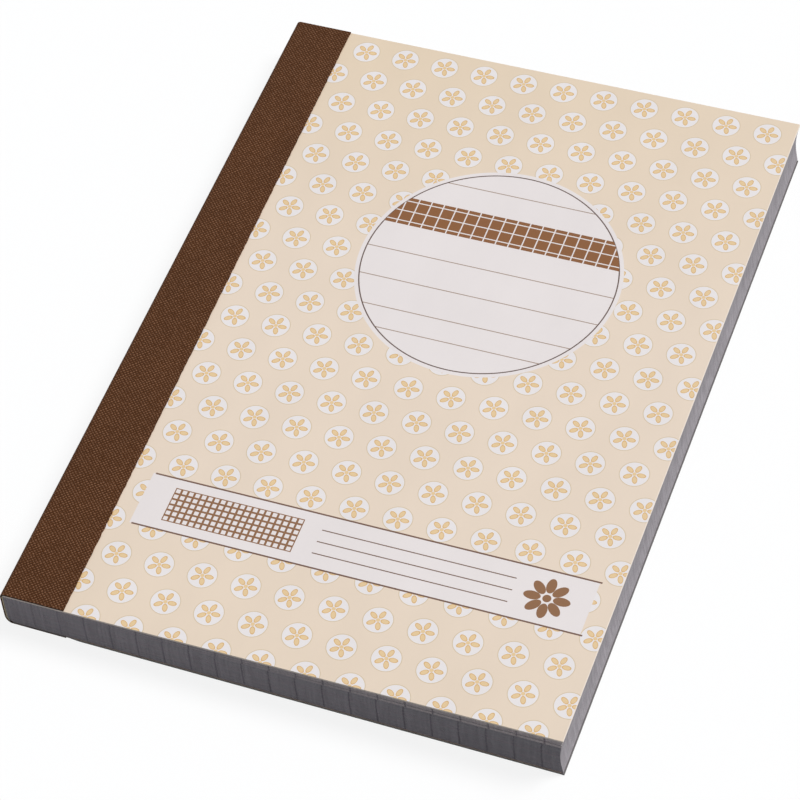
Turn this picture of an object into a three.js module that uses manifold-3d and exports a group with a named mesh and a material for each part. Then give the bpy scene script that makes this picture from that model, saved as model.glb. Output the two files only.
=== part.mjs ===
// A6 carbonless duplicate book, lying on its back cover. Millimetres, +Z up.
// The spine runs along Y at -X, the fore-edge is at +X and the head of the page is at +Y.
// The origin is the centre of the footprint, on the surface that the book lies on.
import * as THREE from "three";
import { mergeGeometries, mergeVertices } from "three/addons/utils/BufferGeometryUtils.js";
import Module from "manifold-3d";

// Trimmed book
const bookWidth = 105; // spine to fore-edge
const bookHeight = 148; // tail to head
const blockAtSpine = 7.3; // pressed paper between the cover cards, at the spine
const blockAtForeEdge = 9.3; // the loose edges of the leaves lie fuller
const coverLift = 0.3; // air under the front cover at the fore-edge
const blockInset = 0.15; // the block's fore-edge behind the edges of the cards
const foreEdgeHollow = 0.5; // how far the fore-edge curves in at half height

// Sets of two leaves: a perforated original over the copy that stays in the book
const setCount = 50;
const singleSets = 5; // the first sets, leaf by leaf
const setsPerPack = 5; // the rest lie in packs
const leafGap = 0.006; // air between two leaves

// Covers, cloth and glue
const cardThickness = 0.4;
const clothThickness = 0.3;
const clothWidth = 11.7; // what the cloth strip covers of each card
const glueThickness = 0.2; // glue on the back of the block, under the cloth
const seatGap = 0.02; // air between two pieces that are glued or pressed together
const frontCorner = { x: 1.0, z: 1.0 }; // rounding of the spine at the front
const backCorner = { x: 1.3, z: 2.0 }; // and at the back, where the block is pressed round
const cornerSteps = 5;

// The line where the covers and the leaves bend
const hingeLine = 9.5; // from the spine
const hingeGap = 0.05;

// Back cover and the loose writing shield that lies on it
const shieldThickness = 0.26;
const shieldInset = 1.0; // from the fore-edge
const shieldSideInset = 4; // from the head and the tail
const shieldClearance = 0.8; // from the ramp of the back card
const coverRamp = 3.0; // the back card comes down to the table just past the cloth

// Perforation of the originals: slits on the hinge line with paper ties between them
const slitPitch = 3.0;
const slitLength = 1.8;
const slitWidth = 0.5;

// Two staples of flat wire through the margin, under the cloth
const wireWidth = 0.5;
const wireThickness = 0.36;
const stapleWidth = 12;
const clinchLength = 4.5;
const stapleFromSpine = 5;
const stapleSpacing = 74; // between the two staples, along the spine
const wireGap = 0.05; // around the wire in its holes
const wireBend = 0.3;

const paperWhite = 0xe9e7e6;
const paperCopy = 0xefd2d6;
const cardPrinted = 0xe4d2bc;
const cardPlain = 0xddd0be;
const clothBrown = 0x5a3c29;
const glueAmber = 0xcdbf9c;
const wireSteel = 0xb9bcc0;
const shieldBoard = 0xb7a58c;

const wasm = await Module();
wasm.setup();

// Heights. Under the cloth the back card is raised, and the shield lies in the step that this leaves.
const backRaise = Math.max(clothThickness, shieldThickness + 2 * seatGap);
const blockBottom = backRaise + cardThickness;
const blockTop = (x) =>
  blockBottom + blockAtSpine + ((blockAtForeEdge - blockAtSpine) * x) / bookWidth;
const marginCardTop = (x) => blockTop(x) + cardThickness;
const spineTop = (x) => marginCardTop(x) + clothThickness;
const spineBottom = backRaise - clothThickness;
const layerHeight = (x, share) => blockBottom + (blockTop(x) - blockBottom) * share;
const coverUnderside = (x) =>
  blockTop(x) + (coverLift * Math.max(0, x - hingeLine)) / (bookWidth - hingeLine);

// Points down the rounded spine, from the front corner to the back corner, for a surface
// that lies `inset` inside the cloth's outer face.
function spineCurve(inset) {
  const arc = (corner, middle, from) =>
    Array.from({ length: cornerSteps + 1 }, (_, i) => {
      const angle = from + ((Math.PI / 2) * i) / cornerSteps;
      const [dx, dz] = [corner.x - inset, corner.z - inset];
      return [corner.x + dx * Math.cos(angle), middle + dz * Math.sin(angle)];
    });
  return [
    ...arc(frontCorner, spineTop(frontCorner.x) - frontCorner.z, Math.PI / 2),
    ...arc(backCorner, spineBottom + backCorner.z, Math.PI),
  ];
}

// How far that surface lies from the spine plane at a height.
function spineEdge(z, inset) {
  const curve = spineCurve(inset);
  const below = curve.findIndex((point) => point[1] <= z);
  if (below === 0) return curve[0][0];
  if (below < 0) return curve.at(-1)[0];
  const [[x0, z0], [x1, z1]] = [curve[below - 1], curve[below]];
  return x0 + ((x1 - x0) * (z0 - z)) / (z0 - z1);
}

// The hollow fore-edge of the block at a share of its height.
function foreEdge(share) {
  return bookWidth - blockInset - foreEdgeHollow * Math.sin(Math.PI * share);
}

// A closed outline in X and Z, carried along the book's height.
function slab(outline, height = bookHeight) {
  const shape = new THREE.Shape(outline.map(([x, z]) => new THREE.Vector2(x, z)));
  const body = new THREE.ExtrudeGeometry(shape, { depth: height, bevelEnabled: false });
  return body.rotateX(Math.PI / 2).translate(-bookWidth / 2, height / 2, 0);
}

// An upright post through the margin, as a tool for cutting. `outline` is in X and Y.
function post(outline) {
  const shape = new THREE.Shape(outline.map(([x, y]) => new THREE.Vector2(x, y)));
  const tall = 2 * (blockBottom + blockAtForeEdge);
  const body = new THREE.ExtrudeGeometry(shape, { depth: 2 * tall, bevelEnabled: false });
  return body.translate(-bookWidth / 2, 0, -tall);
}

function solidOf(geometry) {
  const bare = geometry.clone();
  bare.deleteAttribute("normal");
  bare.deleteAttribute("uv");
  const merged = mergeVertices(bare, 1e-4);
  const vertProperties = new Float32Array(merged.attributes.position.array);
  const triVerts = new Uint32Array(merged.index.array);
  return new wasm.Manifold(new wasm.Mesh({ numProp: 3, vertProperties, triVerts }));
}

function cut(geometry, tools) {
  const mesh = solidOf(geometry).subtract(solidOf(tools)).getMesh();
  const result = new THREE.BufferGeometry();
  result.setAttribute("position", new THREE.BufferAttribute(mesh.vertProperties, 3));
  result.setIndex(new THREE.BufferAttribute(mesh.triVerts, 1));
  return result;
}

function rectangle(xMid, yMid, xSize, ySize) {
  const [dx, dy] = [xSize / 2, ySize / 2];
  return [
    [xMid - dx, yMid - dy],
    [xMid + dx, yMid - dy],
    [xMid + dx, yMid + dy],
    [xMid - dx, yMid + dy],
  ];
}

const staplePlaces = [stapleSpacing / 2, -stapleSpacing / 2];
const legOffset = (stapleWidth - wireThickness) / 2;
const holeX = wireWidth + 2 * wireGap;

// Four square holes for the legs of the two staples.
function legHoles() {
  const holeY = wireThickness + 2 * wireGap;
  const middles = staplePlaces.flatMap((y) => [y - legOffset, y + legOffset]);
  const posts = middles.map((y) => post(rectangle(stapleFromSpine, y, holeX, holeY)));
  return mergeGeometries(posts);
}

// In the front card the crown lies in a slot between its two holes.
function crownSlots() {
  const long = stapleWidth + 2 * wireGap;
  return mergeGeometries(
    staplePlaces.map((y) => post(rectangle(stapleFromSpine, y, holeX, long))),
  );
}

// In the back card each bent end lies in a slot of its own.
function clinchSlots() {
  const long = clinchLength + 2 * wireGap;
  const middle = (stapleWidth - clinchLength) / 2;
  const middles = staplePlaces.flatMap((y) => [y - middle, y + middle]);
  const posts = middles.map((y) => post(rectangle(stapleFromSpine, y, holeX, long)));
  return mergeGeometries(posts);
}

// The row of pointed slits that the perforating rule leaves on the hinge line.
function perforation() {
  const count = Math.floor(bookHeight / slitPitch);
  const middle = hingeLine + hingeGap / 2;
  const slits = Array.from({ length: count }, (_, i) => {
    const y = (i - (count - 1) / 2) * slitPitch;
    return post([
      [middle - slitWidth / 2, y],
      [middle, y - slitLength / 2],
      [middle + slitWidth / 2, y],
      [middle, y + slitLength / 2],
    ]);
  });
  return mergeGeometries(slits);
}

// Outline of the bound margin of a layer, from the rounded spine to the hinge line.
function marginOutline(low, high, steps) {
  const inset = clothThickness + glueThickness + seatGap;
  const spine = Array.from({ length: steps + 1 }, (_, i) => {
    const share = high + ((low - high) * i) / steps;
    const lift = (leafGap / 2) * (1 - (2 * (steps - i)) / steps);
    const x = spineEdge(layerHeight(inset, share), inset);
    return [x, layerHeight(x, share) + lift];
  });
  return [
    ...spine,
    [hingeLine, layerHeight(hingeLine, low) + leafGap / 2],
    [hingeLine, layerHeight(hingeLine, high) - leafGap / 2],
  ];
}

// Outline of the turning part of a layer, from the hinge line to the hollow fore-edge.
function leafOutline(low, high, steps) {
  const start = hingeLine + hingeGap;
  const edge = Array.from({ length: steps + 1 }, (_, i) => {
    const share = low + ((high - low) * i) / steps;
    const x = foreEdge(share);
    const lift = (leafGap / 2) * (1 - (2 * i) / steps);
    return [x, layerHeight(x, share) + lift];
  });
  return [
    [start, layerHeight(start, low) + leafGap / 2],
    ...edge,
    [start, layerHeight(start, high) - leafGap / 2],
  ];
}

const book = new THREE.Group();

function add(name, geometry, color, roughness, metalness = 0) {
  const material = new THREE.MeshStandardMaterial({ color, roughness, metalness });
  const mesh = new THREE.Mesh(geometry, material);
  mesh.name = name;
  book.add(mesh);
}

const twoDigits = (number) => String(number).padStart(2, "0");
const shareOf = (leaves) => 1 - leaves / (2 * setCount);

// One leaf and its stub. Leaves are counted from the front; originals are perforated.
function addLeaf(name, index, color, perforated) {
  const [high, low] = [shareOf(index), shareOf(index + 1)];
  const holes = perforated ? mergeGeometries([legHoles(), perforation()]) : legHoles();
  const leaf = slab(leafOutline(low, high, 1));
  add(name, perforated ? cut(leaf, perforation()) : leaf, color, 0.85);
  add(`${name}_stub`, cut(slab(marginOutline(low, high, 1)), holes), color, 0.85);
}

function addSingleSets() {
  for (let set = 1; set <= singleSets; set += 1) {
    const index = 2 * (set - 1);
    addLeaf(`original_${twoDigits(set)}`, index, paperWhite, true);
    addLeaf(`copy_${twoDigits(set)}`, index + 1, paperCopy, false);
  }
}

function addPacks() {
  for (let first = singleSets; first < setCount; first += setsPerPack) {
    const last = Math.min(first + setsPerPack, setCount);
    const [high, low] = [shareOf(2 * first), shareOf(2 * last)];
    const name = `sets_${twoDigits(first + 1)}_${twoDigits(last)}`;
    add(name, slab(leafOutline(low, high, 3)), paperWhite, 0.85);
    const margin = cut(slab(marginOutline(low, high, 3)), legHoles());
    add(`${name}_margin`, margin, paperWhite, 0.85);
  }
}

// The front card: a bound margin under the cloth, and the board that opens.
function addFrontCover() {
  const top = (x) => marginCardTop(x) - seatGap;
  const low = spineEdge(blockTop(0), clothThickness + seatGap);
  const high = spineEdge(top(0), clothThickness + seatGap);
  const margin = slab([
    [low, blockTop(low)],
    [hingeLine, blockTop(hingeLine)],
    [hingeLine, top(hingeLine)],
    [high, top(high)],
  ]);
  add("front_cover_margin", cut(margin, crownSlots()), cardPrinted, 0.6);
  const from = hingeLine + hingeGap;
  const board = slab([
    [from, coverUnderside(from)],
    [bookWidth, coverUnderside(bookWidth)],
    [bookWidth, coverUnderside(bookWidth) + cardThickness],
    [from, coverUnderside(from) + cardThickness - seatGap],
  ]);
  add("front_cover", board, cardPrinted, 0.6);
}

// The back card steps down past the cloth, so that the book lies flat on the table.
function addBackCover() {
  const low = backRaise + seatGap;
  const margin = slab([
    [spineEdge(low, clothThickness + seatGap), low],
    [hingeLine, low],
    [hingeLine, blockBottom],
    [spineEdge(blockBottom, clothThickness + seatGap), blockBottom],
  ]);
  add("back_cover_margin", cut(margin, clinchSlots()), cardPlain, 0.7);
  const from = hingeLine + hingeGap;
  const rampEnd = clothWidth + coverRamp;
  const board = slab([
    [from, low],
    [clothWidth, low],
    [rampEnd, 0],
    [bookWidth, 0],
    [bookWidth, cardThickness],
    [rampEnd, cardThickness],
    [clothWidth, blockBottom],
    [from, blockBottom],
  ]);
  add("back_cover", board, cardPlain, 0.7);
}

// The cloth strip: wrapped round the spine, with a flap glued on each cover past the hinge.
function addCloth() {
  const inner = spineCurve(clothThickness).reverse();
  const wrap = slab([
    [hingeLine, spineTop(hingeLine)],
    ...spineCurve(0),
    [hingeLine, spineBottom],
    [hingeLine, spineBottom + clothThickness],
    ...inner,
    [hingeLine, marginCardTop(hingeLine)],
  ]);
  add("spine_cloth", wrap, clothBrown, 0.9);
  const from = hingeLine + hingeGap;
  const cardTop = (x) => coverUnderside(x) + cardThickness;
  const front = slab([
    [from, cardTop(from)],
    [clothWidth, cardTop(clothWidth)],
    [clothWidth, cardTop(clothWidth) + clothThickness],
    [from, cardTop(from) + clothThickness],
  ]);
  add("front_cloth_flap", front, clothBrown, 0.9);
  const back = slab([
    [from, spineBottom],
    [clothWidth, spineBottom],
    [clothWidth, backRaise],
    [from, backRaise],
  ]);
  add("back_cloth_flap", back, clothBrown, 0.9);
}

// Glue on the back of the block: the space between the cloth and the ends of the margins.
function addSpineGlue() {
  const [low, high] = [blockBottom + seatGap, blockTop(0) - seatGap];
  const side = (inset) => [
    [spineEdge(high, inset), high],
    ...spineCurve(inset).filter(([, z]) => z > low && z < high),
    [spineEdge(low, inset), low],
  ];
  const outer = side(clothThickness + seatGap);
  const inner = side(clothThickness + glueThickness).reverse();
  add("spine_glue", slab([...outer, ...inner]), glueAmber, 0.4);
}

// A staple of flat wire: crown in the front card, legs through the block, ends bent in.
function addStaples() {
  const half = stapleWidth / 2;
  const top = marginCardTop(stapleFromSpine) - 2 * seatGap;
  const foot = backRaise + 2 * seatGap;
  const wire = new THREE.Shape();
  wire.moveTo(-half + clinchLength, foot);
  wire.lineTo(-half + clinchLength, foot + wireThickness);
  wire.lineTo(-half + wireThickness, foot + wireThickness);
  wire.lineTo(-half + wireThickness, top - wireThickness);
  wire.lineTo(half - wireThickness, top - wireThickness);
  wire.lineTo(half - wireThickness, foot + wireThickness);
  wire.lineTo(half - clinchLength, foot + wireThickness);
  wire.lineTo(half - clinchLength, foot);
  wire.lineTo(half - wireBend, foot);
  wire.quadraticCurveTo(half, foot, half, foot + wireBend);
  wire.lineTo(half, top - wireBend);
  wire.quadraticCurveTo(half, top, half - wireBend, top);
  wire.lineTo(-half + wireBend, top);
  wire.quadraticCurveTo(-half, top, -half, top - wireBend);
  wire.lineTo(-half, foot + wireBend);
  wire.quadraticCurveTo(-half, foot, -half + wireBend, foot);
  const along = new THREE.Matrix4().makeBasis(
    new THREE.Vector3(0, 1, 0),
    new THREE.Vector3(0, 0, 1),
    new THREE.Vector3(1, 0, 0),
  );
  const xStart = stapleFromSpine - wireWidth / 2 - bookWidth / 2;
  ["staple_upper", "staple_lower"].forEach((name, i) => {
    const body = new THREE.ExtrudeGeometry(wire, {
      depth: wireWidth,
      bevelEnabled: false,
      curveSegments: 4,
    });
    body.applyMatrix4(along).translate(xStart, staplePlaces[i], 0);
    add(name, body, wireSteel, 0.35, 0.9);
  });
}

// The loose card that is put under a set so that the writing doesn't mark the next one.
function addWritingShield() {
  const start = clothWidth + coverRamp + shieldClearance;
  const end = bookWidth - shieldInset;
  const low = cardThickness + seatGap;
  const outline = [
    [start, low],
    [end, low],
    [end, low + shieldThickness],
    [start, low + shieldThickness],
  ];
  add("writing_shield", slab(outline, bookHeight - 2 * shieldSideInset), shieldBoard, 0.8);
}

addFrontCover();
addBackCover();
addCloth();
addSpineGlue();
addStaples();
addWritingShield();
addSingleSets();
addPacks();

export default book;
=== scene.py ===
# %% [markdown]
# This script dresses the working model of a small duplicate book for its picture. The model comes
# in first as a fixed frame: its solids have the right size and place, and the bodies that they ride
# on know how the book opens. Everything made below is a thin, finished skin over that frame.

# %% Load the working model
import math
import random

import bmesh
import bpy
from mathutils import Matrix, Vector


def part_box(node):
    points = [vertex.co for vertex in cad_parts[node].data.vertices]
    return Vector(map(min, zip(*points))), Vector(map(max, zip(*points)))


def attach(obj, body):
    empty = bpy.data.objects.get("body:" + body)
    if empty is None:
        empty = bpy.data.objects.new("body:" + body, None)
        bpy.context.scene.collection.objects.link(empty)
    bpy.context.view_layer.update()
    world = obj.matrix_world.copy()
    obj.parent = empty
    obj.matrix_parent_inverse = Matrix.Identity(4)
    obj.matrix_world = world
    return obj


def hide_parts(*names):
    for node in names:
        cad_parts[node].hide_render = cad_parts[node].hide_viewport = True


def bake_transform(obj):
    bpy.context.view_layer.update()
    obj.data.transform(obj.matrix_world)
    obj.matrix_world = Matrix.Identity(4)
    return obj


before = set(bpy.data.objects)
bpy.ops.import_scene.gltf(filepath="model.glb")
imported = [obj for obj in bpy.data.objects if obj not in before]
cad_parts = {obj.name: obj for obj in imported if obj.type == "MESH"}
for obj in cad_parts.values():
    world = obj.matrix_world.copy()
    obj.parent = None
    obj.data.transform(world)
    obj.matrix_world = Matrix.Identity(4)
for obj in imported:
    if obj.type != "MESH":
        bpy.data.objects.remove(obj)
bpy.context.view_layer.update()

print("solids in the frame:", len(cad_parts))

# %% [markdown]
# A book is measured from its spine and from the table, in millimetres, while Blender works in
# metres round the middle of the book. One small function turns the first into the second, so that
# every size below can be read as a bookbinder would say it.

# %% Sizes of the book
BOOK_WIDTH = 105.0
BOOK_HEIGHT = 148.0
HALF_HEIGHT = BOOK_HEIGHT / 2
BLOCK_BOTTOM = 0.7
BLOCK_AT_SPINE = 7.3
BLOCK_AT_FORE_EDGE = 9.3
COVER_LIFT = 0.3
CARD = 0.4
CLOTH = 0.3
CLOTH_WIDTH = 11.7
HINGE = 9.5
SHEETS = 100
SHEETS_IN_PACK = 10


def at(x, y, z):
    """A point of the book: x from the spine, y from mid height, z above the table, in millimetres."""
    return Vector((x - BOOK_WIDTH / 2, y, z)) / 1000


def block_top(x):
    fuller = (BLOCK_AT_FORE_EDGE - BLOCK_AT_SPINE) * x / BOOK_WIDTH
    return BLOCK_BOTTOM + BLOCK_AT_SPINE + fuller


def cover_underside(x):
    return block_top(x) + COVER_LIFT * max(0, x - HINGE) / (BOOK_WIDTH - HINGE)


print("height at the spine:", round(block_top(0) + CARD + CLOTH, 2))

# %% [markdown]
# The camera stands where the photographer stood. Its angles, distance and lens were worked out from
# the corners of the cover and of the foot, whose real distances are known. A long lens from above
# keeps the long edges nearly parallel, and a slight roll tilts the book in the frame.

# %% Camera
AZIMUTH = math.radians(23.861)
ELEVATION = math.radians(51.607)
ROLL = math.radians(5.139)
CAMERA_PLACE = Vector((0.153023, -0.356276, 0.484152))
LENS = 148.635
SENSOR_WIDTH = 36
NEAREST = 0.01
FARTHEST = 10

level_part = math.cos(ELEVATION)
back = Vector((math.sin(AZIMUTH) * level_part, -math.cos(AZIMUTH) * level_part, math.sin(ELEVATION)))
level = (-back).cross(Vector((0, 0, 1))).normalized()
down = (-back).cross(level)
right = level * math.cos(ROLL) + down * math.sin(ROLL)
up = level * math.sin(ROLL) - down * math.cos(ROLL)

camera_data = bpy.data.cameras.new("camera")
camera_data.lens = LENS
camera_data.sensor_width = SENSOR_WIDTH
camera_data.clip_start = NEAREST
camera_data.clip_end = FARTHEST
camera = bpy.data.objects.new("camera", camera_data)
bpy.context.scene.collection.objects.link(camera)
camera.matrix_world = Matrix.Translation(CAMERA_PLACE) @ Matrix((right, up, back)).transposed().to_4x4()
bpy.context.scene.camera = camera
bpy.context.scene.view_settings.view_transform = "Standard"
print("camera", round(CAMERA_PLACE.length, 3), "m from the book")

# %% [markdown]
# Most pieces of a book are flat boxes that are cut, bent and rounded. The first helpers handle a
# whole piece: start it as a box between two corners, open it for editing, copy it, or finish it with
# a modifier. Everything is deselected first, because an operator acts on all that is picked.

# %% Handle a piece
def take_up(piece):
    """Makes this piece the only one that an operator acts on."""
    bpy.ops.object.select_all(action="DESELECT")
    piece.select_set(True)
    bpy.context.view_layer.objects.active = piece


def open_up(piece):
    take_up(piece)
    bpy.ops.object.mode_set(mode="EDIT")


def close():
    bpy.ops.object.mode_set(mode="OBJECT")


def box(name, low, high):
    bpy.ops.object.select_all(action="DESELECT")
    low, high = at(*low), at(*high)
    bpy.ops.mesh.primitive_cube_add(size=1, location=(low + high) / 2, scale=high - low)
    made = bpy.context.object
    made.name = name
    bpy.ops.object.transform_apply(location=True, rotation=True, scale=True)
    return made


def copy_of(piece, name):
    """A copy that has its own mesh."""
    made = piece.copy()
    made.data = piece.data.copy()
    made.name = name
    bpy.context.scene.collection.objects.link(made)
    return made


def finish_with(piece, kind, **settings):
    """Adds a modifier, sets it and applies it."""
    take_up(piece)
    modifier = piece.modifiers.new(kind.lower(), kind)
    for name, value in settings.items():
        setattr(modifier, name, value)
    bpy.ops.object.modifier_apply(modifier=modifier.name)


print("pieces can be started, opened, copied and finished")

# %% [markdown]
# The second helpers are the hand moves on an open piece: pick points, edges or faces by their place,
# move or round what is picked, and cut the piece across, so that it can bend there.

# %% Hand moves
NEAR = 0.01
FINE = 1e-6


def pick(kind, test):
    """Selects the points, edges or faces of which every corner passes the test, in millimetres."""
    bpy.ops.mesh.select_mode(type=kind)
    bpy.ops.mesh.select_all(action="DESELECT")
    shape = bmesh.from_edit_mesh(bpy.context.object.data)
    for element in {"VERT": shape.verts, "EDGE": shape.edges, "FACE": shape.faces}[kind]:
        corners = [element] if kind == "VERT" else element.verts
        places = [corner.co * 1000 + Vector((BOOK_WIDTH / 2, 0, 0)) for corner in corners]
        if all(test(place) for place in places):
            element.select_set(True)
    bmesh.update_edit_mesh(bpy.context.object.data)


def move(x=0.0, z=0.0):
    bpy.ops.transform.translate(value=(x / 1000, 0, z / 1000))


def round_off(offset, rows):
    bpy.ops.mesh.bevel(offset=offset / 1000, segments=rows, affect="EDGES")


def steps(start, end, count):
    return [start + (end - start) * i / count for i in range(count + 1)]


def cut_across(distances, axis="X"):
    """Cuts the piece through with planes at these distances along the axis."""
    normal = (1, 0, 0) if axis == "X" else (0, 1, 0)
    for distance in distances:
        place = at(distance, 0, 0) if axis == "X" else at(0, distance, 0)
        bpy.ops.mesh.select_all(action="SELECT")
        bpy.ops.mesh.bisect(plane_co=place, plane_no=normal, threshold=FINE)


print("hand moves ready")

# %% [markdown]
# A print must stay on its sheet when the sheet bends. So each piece keeps, as an attribute on its
# points, the place that it had when the book lay shut: x from the spine, y from the tail and z from
# the table. More attributes say which faces are cut edges, which face up, which sheet of the block
# it is, and which points lie on the rim of the fore-edge.

# %% Attributes that travel with a piece
RIM = 0.12
UPRIGHT = 0.95
FACES_UP = 0.5


def note(mesh, name, domain, values, kind="FLOAT", field="value"):
    mesh.attributes.new(name, kind, domain).data.foreach_set(field, values)


def remember(piece, sheet=0, shift=(0, 0), along=None):
    mesh = piece.data
    middle = Vector((BOOK_WIDTH / 2, HALF_HEIGHT, 0))
    places = [vertex.co * 1000 + middle for vertex in mesh.vertices]
    if along:
        places = [Vector((along(place), place.y, 0)) for place in places]
    farthest = max(place.x for place in places)
    lying = [n for x, y, z in places for n in (x + shift[0] * x / BOOK_WIDTH, y + shift[1], z)]
    note(mesh, "place", "POINT", lying, kind="FLOAT_VECTOR", field="vector")
    note(mesh, "cut", "FACE", [float(abs(face.normal.z) < UPRIGHT) for face in mesh.polygons])
    note(mesh, "outer", "FACE", [float(face.normal.z > FACES_UP) for face in mesh.polygons])
    note(mesh, "sheet", "POINT", [float(sheet)] * len(mesh.vertices))
    note(mesh, "rim", "POINT", [float(place.x > farthest - RIM / 2) for place in places])


print("each piece will carry place, cut, outer, sheet and rim")

# %% [markdown]
# The spine is rounded, and every layer under the cloth ends in the same round. The front corner is
# tight and even. At the back the block is pressed rounder, and that round is taller than it is wide.
# One function says where a layer starts at a given height, and the card and the sheets all use it.

# %% Round of the spine
FRONT_ROUND = 1.0
FRONT_MIDDLE = block_top(FRONT_ROUND) + CARD + CLOTH - FRONT_ROUND
BACK_ROUND = 1.3
BACK_ROUND_TALL = 2.0


def spine_curve(z, inset):
    """How far from the spine a layer that lies inset inside the cloth starts, at a height."""
    if z > FRONT_MIDDLE:
        wide, tall, from_middle = FRONT_ROUND, FRONT_ROUND, z - FRONT_MIDDLE
    elif z < BACK_ROUND_TALL:
        wide, tall, from_middle = BACK_ROUND, BACK_ROUND_TALL, BACK_ROUND_TALL - z
    else:
        return inset
    rise = from_middle / (tall - inset)
    return wide - (wide - inset) * math.sqrt(max(0, 1 - rise * rise))


print("the last sheet starts", round(spine_curve(BLOCK_BOTTOM, CLOTH), 2), "mm from the spine")

# %% [markdown]
# Cover card comes as a stiff printed board, cut with a guillotine that leaves a slightly soft arris.
# The front cover is one board, but it bends in two places here: the margin under the cloth stays
# with the spine, and the board turns just past it. So it is made as two boxes that meet under the
# cloth, each cut across many times where it has to bend. The first bend is a tight crease, so that
# the card doesn't swell into the first leaf, which is stiff and turns right beside it.

# %% Front cover card
CREASE = 0.2
CREASE_ROOM = 0.03
BEND_END = 10.7
BOARD_BEND_END = 11.9
BEND_CUTS = 8
LAYER_GAP = 0.02
MARGIN_SHORT = 0.12
SOFT_ARRIS = 0.09
BOARD_CUTS = (30, 50, 70, 90)
BOARD_CUTS_UP = (-50, -25, 0, 25, 50)


def tilt(low_x, high_x, underside):
    """Lifts the end of a level box to the slope of the surface that it lies on."""
    pick("VERT", lambda place: place.x > high_x - NEAR)
    move(z=underside(high_x) - underside(low_x))


margin_start = spine_curve(block_top(0), CLOTH + LAYER_GAP) + MARGIN_SHORT
card_margin = box(
    "card_margin",
    (margin_start, -HALF_HEIGHT, block_top(margin_start) + CREASE_ROOM),
    (BEND_END, HALF_HEIGHT, block_top(margin_start) + CARD - LAYER_GAP),
)
open_up(card_margin)
tilt(margin_start, BEND_END, block_top)
cut_across(steps(HINGE, HINGE + CREASE, BEND_CUTS))
close()

card_board = box(
    "card_board",
    (BEND_END, -HALF_HEIGHT, cover_underside(BEND_END)),
    (BOOK_WIDTH, HALF_HEIGHT, cover_underside(BEND_END) + CARD),
)
open_up(card_board)
tilt(BEND_END, BOOK_WIDTH, cover_underside)
pick("EDGE", lambda place: place.x > BOOK_WIDTH - NEAR)
round_off(SOFT_ARRIS, rows=2)
cut_across(steps(BEND_END, BOARD_BEND_END, BEND_CUTS)[1:])
cut_across(BOARD_CUTS)
cut_across(BOARD_CUTS_UP, axis="Y")
close()
for card in (card_margin, card_board):
    remember(card)
print("front card:", len(card_margin.data.polygons) + len(card_board.data.polygons), "faces")

# %% [markdown]
# The back card is the same board without its print. Past the cloth it comes down to the table, so
# the book doesn't rock on its cloth edge. It is cut across at the step, and each row of points there
# is let down a little further than the last.

# %% Back cover card
RAMP_END = 14.7
RAMP_CUTS = 8
BACK_BEND_CUTS = 11
BACK_RAISE = 0.32
BACK_SHORT = 0.05
BACK_GAP = 0.005
card_back = box(
    "card_back",
    (spine_curve(BACK_RAISE, CLOTH + LAYER_GAP) + BACK_SHORT, -HALF_HEIGHT, BACK_RAISE),
    (BOOK_WIDTH, HALF_HEIGHT, BLOCK_BOTTOM - BACK_GAP),
)
open_up(card_back)
cut_across(steps(HINGE, CLOTH_WIDTH, BACK_BEND_CUTS))
ramp = steps(CLOTH_WIDTH, RAMP_END, RAMP_CUTS)
cut_across(ramp[1:])
for before, here in zip(ramp, ramp[1:]):
    share = [(x - CLOTH_WIDTH) / (RAMP_END - CLOTH_WIDTH) for x in (before, here)]
    drop = [BACK_RAISE * s * s * (3 - 2 * s) for s in share]
    pick("VERT", lambda place: place.x > here - NEAR)
    move(z=drop[0] - drop[1])
close()
remember(card_back)
print("back card:", len(card_back.data.polygons), "faces")

# %% [markdown]
# Book cloth is a strip glued round the spine. It starts here as a box of the book's section, whose
# spine edges are beveled round. The bevel at the back is stretched upwards into the taller round.
# Then the box is opened at the ends and on the fore-edge side, and what is left gets the cloth's
# thickness.

# %% Cloth round the spine
halfway = block_top(0) / 2
cloth_top = cover_underside(BEND_END) + CARD + CLOTH
cloth_wrap = box("cloth_wrap", (0, -HALF_HEIGHT, 0), (BEND_END, HALF_HEIGHT, block_top(0) + CARD + CLOTH))
open_up(cloth_wrap)
pick("VERT", lambda place: place.x > NEAR and place.z > halfway)
move(z=cloth_top - block_top(0) - CARD - CLOTH)
pick("VERT", lambda place: place.x > NEAR and place.z < halfway)
move(x=HINGE - BEND_END)
pick("EDGE", lambda place: place.x < NEAR and place.z > halfway)
round_off(FRONT_ROUND, rows=10)
pick("EDGE", lambda place: place.x < NEAR and place.z < halfway)
round_off(BACK_ROUND, rows=12)
pick("VERT", lambda place: place.z < BACK_ROUND + NEAR)
bpy.ops.transform.resize(value=(1, 1, BACK_ROUND_TALL / BACK_ROUND), center_override=at(0, 0, 0))
for open_side in (
    lambda place: place.y > HALF_HEIGHT - NEAR,
    lambda place: place.y < NEAR - HALF_HEIGHT,
    lambda place: place.x > HINGE - NEAR,
):
    pick("FACE", open_side)
    bpy.ops.mesh.delete(type="FACE")
cut_across(steps(HINGE, HINGE + CREASE, BEND_CUTS))
close()
finish_with(cloth_wrap, "SOLIDIFY", thickness=CLOTH / 1000, offset=-1, use_even_offset=True)
print("cloth wrap:", len(cloth_wrap.data.polygons), "faces")

# %% [markdown]
# The raw edge of the cloth shows on both covers as a line that isn't quite straight, because single
# threads come loose along it. The two narrow flaps past the hinge are cut into short lengths, and
# the points on their free edge are nudged by a fraction of a thread. On the front cover the strip
# was also laid on a little aslant, so that it is wider at the tail than at the head.

# %% Cloth flaps with a raw edge
THREAD = 0.37
FRAY_IN = 0.09
FRAY_OUT = 0.3 * FRAY_IN
ASLANT = 0.8
HUNDREDTHS = 1e5
FRAY_SEED = 11
fray_dice = random.Random(FRAY_SEED)


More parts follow.
